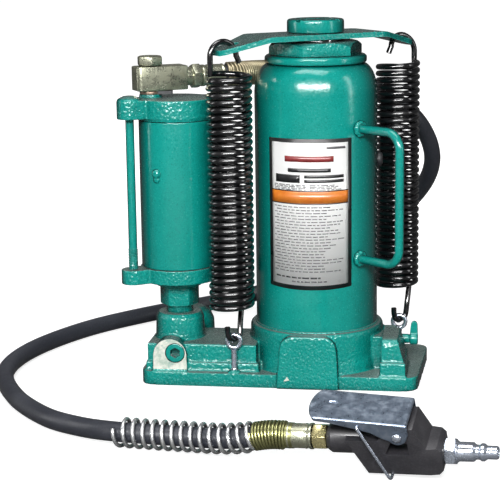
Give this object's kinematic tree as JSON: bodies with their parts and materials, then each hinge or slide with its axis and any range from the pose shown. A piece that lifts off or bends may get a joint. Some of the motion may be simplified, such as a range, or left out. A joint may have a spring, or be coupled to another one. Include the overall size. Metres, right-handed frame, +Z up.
{
  "type": "bottle jack",
  "caption": "Air-operated hydraulic bottle jack with outside return springs, a top extension screw, an air motor on its base, a looped hose and a lever air valve.",
  "frame": {"origin": "on the ram's axis, at the underside of the base", "axes": "+Z up along the ram, +X away from the air motor, -Y towards the labelled front"},
  "size_m": [0.3647, 0.4436, 0.2601],
  "materials": {
    "green_paint": "gloss, slightly rough hammered paint",
    "steel": "satin",
    "chrome": "polished",
    "black_steel": "gloss black oil finish on spring steel",
    "yellow_zinc": "dull yellow zinc plate",
    "brass": "satin",
    "copper": "soft annealed washer",
    "rubber": "matt black",
    "black_resin": "black moulded body",
    "label": null
  },
  "bodies": {
    "jack_body": {"base_casting": "green_paint", "reservoir_tank": "green_paint", "tank_collar": "green_paint", "top_nut": "green_paint", "carry_handle": "green_paint", "pump_housing": "green_paint", "air_motor_base_flange": "green_paint", "air_cylinder": "green_paint", "air_motor_cap": "green_paint", "exhaust_plug": "green_paint", "safety_valve_screw": "steel", "suction_valve_plug": "steel", "delivery_valve_plug": "steel", "pressure_cylinder": "steel", "eye_bolt_left": "steel", "eye_bolt_right": "steel", "tie_rod_front": "steel", "tie_rod_back": "steel", "motor_return_spring": "steel", "hose_guard_spring": "steel", "lever_pivot_pin": "steel", "air_plug": "chrome", "return_spring_left": "black_steel", "return_spring_right": "black_steel", "inlet_block": "yellow_zinc", "banjo_bolt": "yellow_zinc", "hose_upper_fitting": "yellow_zinc", "hose_upper_ferrule": "yellow_zinc", "hose_guard_upper": "yellow_zinc", "hose_guard_lower": "yellow_zinc", "hose_lower_ferrule": "yellow_zinc", "hose_nut": "brass", "cylinder_gasket": "copper", "port_washer": "copper", "tank_gasket": "rubber", "ram_wiper_seal": "rubber", "gland_o_ring": "rubber", "filler_plug": "rubber", "air_hose": "rubber", "valve_body": "black_resin", "label_plate": "label"},
    "ram_body": {"ram": "chrome", "ram_piston": "steel", "piston_bearing_ring": "brass", "piston_cup_seal": "rubber", "piston_nut": "steel", "spring_bar": "green_paint"},
    "screw_collar": {"screw_stop_ring": "black_steel"},
    "screw": {"extension_screw": "green_paint"},
    "release_valve": {"release_valve_spindle": "green_paint", "release_valve_o_ring": "rubber"},
    "air_piston_body": {"air_piston": "steel", "air_piston_seal": "rubber", "pump_plunger": "chrome"},
    "lever": {"valve_lever": "steel"},
    "bail": {"lock_bail": "steel"},
    "stem": {"valve_stem": "steel"},
    "suction_ball_body": {"suction_ball": "steel"},
    "delivery_ball_body": {"delivery_ball": "steel"}
  },
  "joints": [
    {"name": "ram_lift", "type": "slide", "parent": "jack_body", "child": "ram_body", "axis": [0, 0, 1], "range_m": [0, 0.155], "stiffness_N_per_m": 4500, "springref_m": -0.01, "deforming": ["return_spring_left", "return_spring_right"]},
    {"name": "screw_rise", "type": "slide", "parent": "ram_body", "child": "screw_collar", "axis": [0, 0, 1], "range_m": [0, 0.0779]},
    {"name": "screw_turn", "type": "hinge", "parent": "screw_collar", "child": "screw", "pos_m": [0, 0, 0.2], "axis": [0, 0, 1], "range_deg": [0, 4680]},
    {"name": "release_valve_turn", "type": "hinge", "parent": "jack_body", "child": "release_valve", "pos_m": [0.055, 0.006, 0.025], "axis": [1, 0, 0], "range_deg": [0, 540]},
    {"name": "air_piston_stroke", "type": "slide", "parent": "jack_body", "child": "air_piston_body", "axis": [0, 0, -1], "range_m": [0, 0.022], "stiffness_N_per_m": 900, "springref_m": -0.015, "deforming": ["motor_return_spring"]},
    {"name": "valve_lever_press", "type": "hinge", "parent": "jack_body", "child": "lever", "pos_m": [0.07357, -0.22981, 0.0351], "axis": [-0.146, -0.9223, -0.3577], "range_deg": [0, 8]},
    {"name": "valve_stem_push", "type": "slide", "parent": "jack_body", "child": "stem", "axis": [0.1186, 0.3427, -0.9319], "range_m": [0, 0.0031], "stiffness_N_per_m": 600, "springref_m": -0.002},
    {"name": "lock_bail_swing", "type": "hinge", "parent": "lever", "child": "bail", "pos_m": [0.04999, -0.22825, 0.04072], "axis": [0.146, 0.9223, 0.3577], "range_deg": [0, 60]},
    {"name": "suction_ball_lift", "type": "slide", "parent": "jack_body", "child": "suction_ball_body", "axis": [0, 1, 0], "range_m": [0, 0.002], "stiffness_N_per_m": 50, "springref_m": -0.002},
    {"name": "delivery_ball_lift", "type": "slide", "parent": "jack_body", "child": "delivery_ball_body", "axis": [0, 0, 1], "range_m": [0, 0.0015], "stiffness_N_per_m": 50, "springref_m": -0.002}
  ],
  "couplings": [
    {"joint": "screw_turn", "follows": "screw_rise", "rad_per_m": 1047.2},
    {"joint": "valve_lever_press", "follows": "valve_stem_push", "rad_per_m": 43.668}
  ]
}
